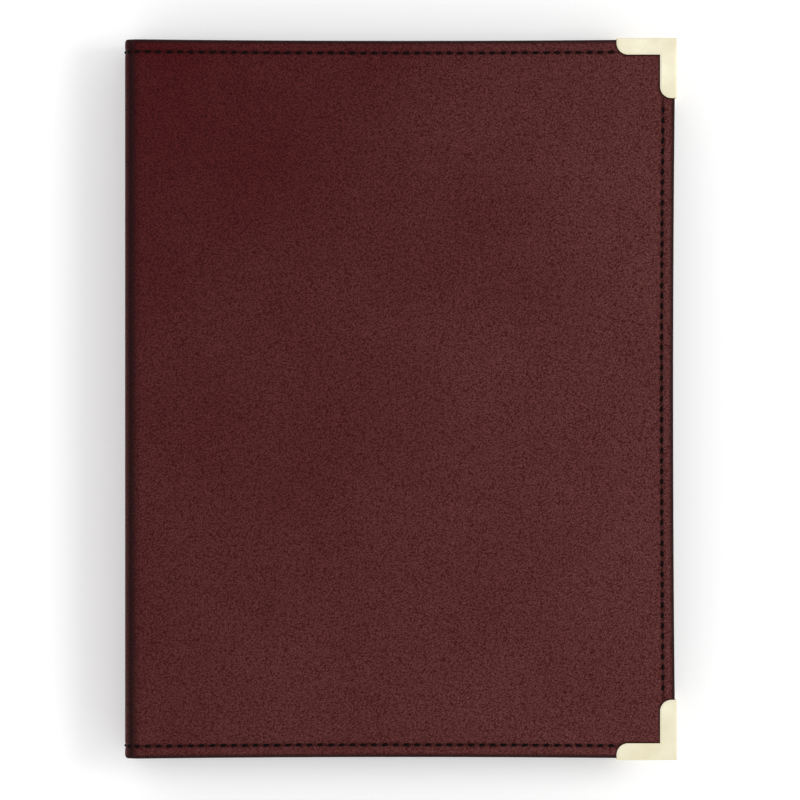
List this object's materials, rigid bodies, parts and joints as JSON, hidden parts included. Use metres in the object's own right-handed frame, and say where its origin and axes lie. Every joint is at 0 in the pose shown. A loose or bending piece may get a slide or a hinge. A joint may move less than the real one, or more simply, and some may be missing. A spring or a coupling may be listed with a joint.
{
  "type": "coin album",
  "caption": "Padded three-ring album with stitched covers and brass corners that stores coins in clear pocket pages.",
  "frame": {"origin": "bottom centre of the closed album's bounding box", "axes": "+X from the spine to the fore-edge, +Y from tail to head, +Z from the back cover up to the front cover"},
  "size_m": [0.241, 0.315, 0.04],
  "materials": {
    "leatherette": "fine-grained, padded, low sheen",
    "lining": "matt woven lining",
    "foam": "soft padding",
    "board": "greyboard",
    "filler": "thin kraft sheet",
    "thread": "twisted waxed thread",
    "corner_brass": "polished, pale gold",
    "ring_nickel": "nickel plated",
    "blade_steel": "plain rolled",
    "page_film": "clear flexible film",
    "page_card": "matt black"
  },
  "bodies": {
    "back_cover": {"back_cover_skin": "leatherette", "back_cover_foam": "foam", "back_cover_board": "board", "back_cover_filler": "filler", "back_cover_lining": "lining", "back_cover_thread": "thread", "back_head_corner": "corner_brass", "back_tail_corner": "corner_brass"},
    "spine": {"spine_skin": "leatherette", "spine_board": "board", "spine_lining": "lining", "spine_thread": "thread", "ring_plate": "ring_nickel", "plate_rivets": "ring_nickel", "lever_pins": "blade_steel", "back_hinge_skin": "leatherette", "back_hinge_lining": "lining", "front_hinge_skin": "leatherette", "front_hinge_lining": "lining"},
    "front_cover": {"front_cover_skin": "leatherette", "front_cover_foam": "foam", "front_cover_board": "board", "front_cover_filler": "filler", "front_cover_lining": "lining", "front_cover_thread": "thread", "front_head_corner": "corner_brass", "front_tail_corner": "corner_brass"},
    "back_rings": {"back_blade": "blade_steel", "back_half_ring_tail": "ring_nickel", "back_half_ring_middle": "ring_nickel", "back_half_ring_head": "ring_nickel"},
    "front_rings": {"front_blade": "blade_steel", "front_half_ring_tail": "ring_nickel", "front_half_ring_middle": "ring_nickel", "front_half_ring_head": "ring_nickel"},
    "head_lever": {"head_lever": "ring_nickel"},
    "tail_lever": {"tail_lever": "ring_nickel"},
    "page_1": {"page_1_sleeve": "page_film", "page_1_card": "page_card"},
    "page_2": {"page_2_sleeve": "page_film", "page_2_card": "page_card"},
    "page_3": {"page_3_sleeve": "page_film", "page_3_card": "page_card"},
    "page_4": {"page_4_sleeve": "page_film", "page_4_card": "page_card"},
    "page_5": {"page_5_sleeve": "page_film", "page_5_card": "page_card"},
    "page_6": {"page_6_sleeve": "page_film", "page_6_card": "page_card"},
    "page_7": {"page_7_sleeve": "page_film", "page_7_card": "page_card"},
    "page_8": {"page_8_sleeve": "page_film", "page_8_card": "page_card"}
  },
  "joints": [
    {"name": "spine_fold", "type": "hinge", "parent": "back_cover", "child": "spine", "pos_m": [-0.11897, 0, 0.00153], "axis": [0, -1, 0], "range_deg": [0, 90], "deforming": ["back_hinge_skin", "back_hinge_lining"]},
    {"name": "cover_open", "type": "hinge", "parent": "spine", "child": "front_cover", "pos_m": [-0.11897, 0, 0.03847], "axis": [0, -1, 0], "range_deg": [0, 90], "deforming": ["front_hinge_skin", "front_hinge_lining"]},
    {"name": "page_1_turn", "type": "hinge", "parent": "spine", "child": "page_1", "pos_m": [-0.1062, 0, 0.02], "axis": [0, -1, 0], "range_deg": [0, 93]},
    {"name": "page_2_turn", "type": "hinge", "parent": "spine", "child": "page_2", "pos_m": [-0.1062, 0, 0.02], "axis": [0, -1, 0], "range_deg": [0, 93]},
    {"name": "page_3_turn", "type": "hinge", "parent": "spine", "child": "page_3", "pos_m": [-0.1062, 0, 0.02], "axis": [0, -1, 0], "range_deg": [0, 93]},
    {"name": "page_4_turn", "type": "hinge", "parent": "spine", "child": "page_4", "pos_m": [-0.1062, 0, 0.02], "axis": [0, -1, 0], "range_deg": [0, 93]},
    {"name": "page_5_turn", "type": "hinge", "parent": "spine", "child": "page_5", "pos_m": [-0.1062, 0, 0.02], "axis": [0, -1, 0], "range_deg": [-89, 0]},
    {"name": "page_6_turn", "type": "hinge", "parent": "spine", "child": "page_6", "pos_m": [-0.1062, 0, 0.02], "axis": [0, -1, 0], "range_deg": [-89, 0]},
    {"name": "page_7_turn", "type": "hinge", "parent": "spine", "child": "page_7", "pos_m": [-0.1062, 0, 0.02], "axis": [0, -1, 0], "range_deg": [-89, 0]},
    {"name": "page_8_turn", "type": "hinge", "parent": "spine", "child": "page_8", "pos_m": [-0.1062, 0, 0.02], "axis": [0, -1, 0], "range_deg": [-89, 0]},
    {"name": "head_lever_press", "type": "hinge", "parent": "spine", "child": "head_lever", "pos_m": [-0.1154, 0.142, 0.02], "axis": [0, 0, 1], "range_deg": [0, 25]},
    {"name": "tail_lever_press", "type": "hinge", "parent": "spine", "child": "tail_lever", "pos_m": [-0.1154, -0.142, 0.02], "axis": [0, 0, -1], "range_deg": [0, 25]},
    {"name": "back_rings_open", "type": "hinge", "parent": "spine", "child": "back_rings", "pos_m": [-0.1164, 0, 0.01], "axis": [0, 1, 0], "range_deg": [0, 8.1]},
    {"name": "front_rings_open", "type": "hinge", "parent": "spine", "child": "front_rings", "pos_m": [-0.1164, 0, 0.03], "axis": [0, -1, 0], "range_deg": [0, 8.1]}
  ],
  "couplings": [
    {"joint": "spine_fold", "follows": "cover_open", "ratio": 1},
    {"joint": "page_1_turn", "follows": "cover_open", "ratio": 1.0278},
    {"joint": "page_2_turn", "follows": "cover_open", "ratio": 1.0278},
    {"joint": "page_3_turn", "follows": "cover_open", "ratio": 1.0278},
    {"joint": "page_4_turn", "follows": "cover_open", "ratio": 1.0278},
    {"joint": "page_5_turn", "follows": "cover_open", "ratio": -0.98333},
    {"joint": "page_6_turn", "follows": "cover_open", "ratio": -0.98333},
    {"joint": "page_7_turn", "follows": "cover_open", "ratio": -0.98333},
    {"joint": "page_8_turn", "follows": "cover_open", "ratio": -0.98333},
    {"joint": "tail_lever_press", "follows": "head_lever_press", "ratio": 1},
    {"joint": "back_rings_open", "follows": "head_lever_press", "ratio": 0.32},
    {"joint": "front_rings_open", "follows": "head_lever_press", "ratio": 0.32}
  ]
}
